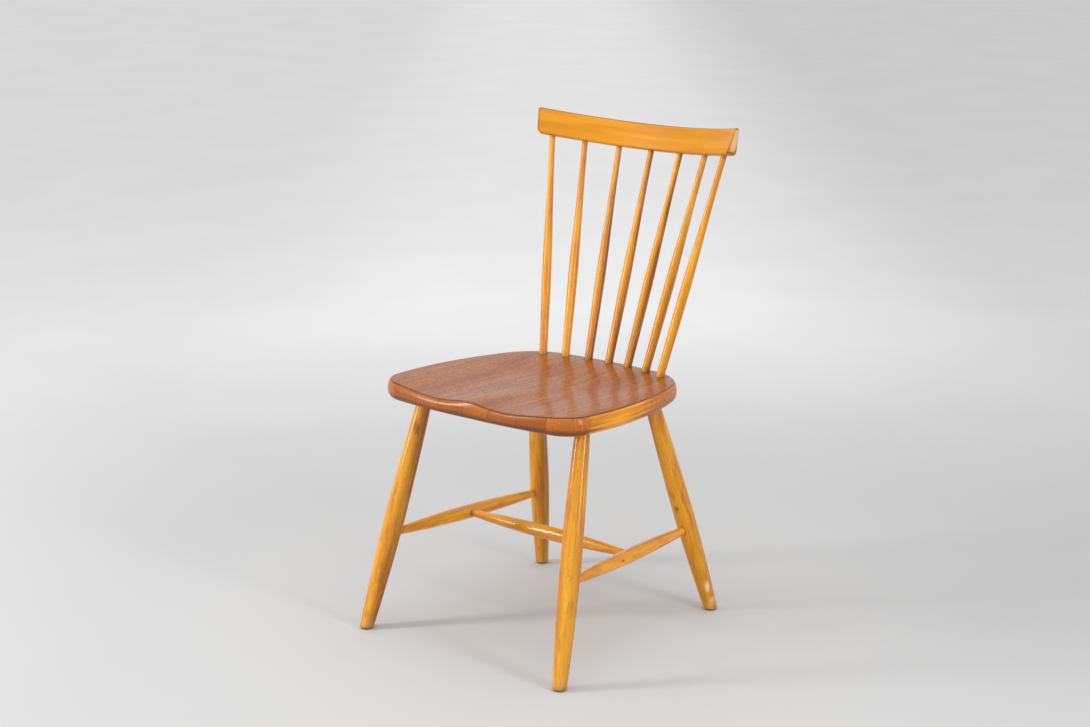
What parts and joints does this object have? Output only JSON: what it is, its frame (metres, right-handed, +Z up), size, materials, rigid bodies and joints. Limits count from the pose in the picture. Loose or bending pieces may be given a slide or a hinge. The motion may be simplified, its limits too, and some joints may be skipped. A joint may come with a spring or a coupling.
{
  "type": "dining chair",
  "caption": "Spindle-back dining chair with a saddle seat in two woods, a bent crest rail and turned, splayed legs joined by an H stretcher.",
  "frame": {"origin": "on the floor, under the middle of the chair's bounding box", "axes": "+X towards the sitter's left, -Y towards the front, +Z up"},
  "size_m": [0.451, 0.5466, 0.8523],
  "materials": {
    "frame_wood": "satin",
    "seat_top": "satin",
    "seat_core": "satin",
    "glide_disc": "matte",
    "glide_pad": "matte",
    "nail_steel": "brushed"
  },
  "bodies": {
    "root": {"seat_stave_1": "seat_core", "seat_stave_2": "seat_core", "seat_stave_3": "seat_core", "seat_stave_4": "seat_core", "seat_stave_5": "seat_core", "seat_stave_6": "seat_core", "seat_stave_7": "seat_core", "seat_stave_8": "seat_core", "seat_veneer": "seat_top", "leg_front_left": "frame_wood", "leg_front_right": "frame_wood", "leg_rear_left": "frame_wood", "leg_rear_right": "frame_wood", "side_stretcher_left": "frame_wood", "side_stretcher_right": "frame_wood", "cross_stretcher": "frame_wood", "spindle_1": "frame_wood", "spindle_2": "frame_wood", "spindle_3": "frame_wood", "spindle_4": "frame_wood", "spindle_5": "frame_wood", "spindle_6": "frame_wood", "spindle_7": "frame_wood", "crest_rail": "frame_wood", "glide_front_left": "glide_disc", "glide_front_right": "glide_disc", "glide_rear_left": "glide_disc", "glide_rear_right": "glide_disc", "glide_pad_front_left": "glide_pad", "glide_pad_front_right": "glide_pad", "glide_pad_rear_left": "glide_pad", "glide_pad_rear_right": "glide_pad", "glide_nails": "nail_steel"}
  },
  "joints": []
}
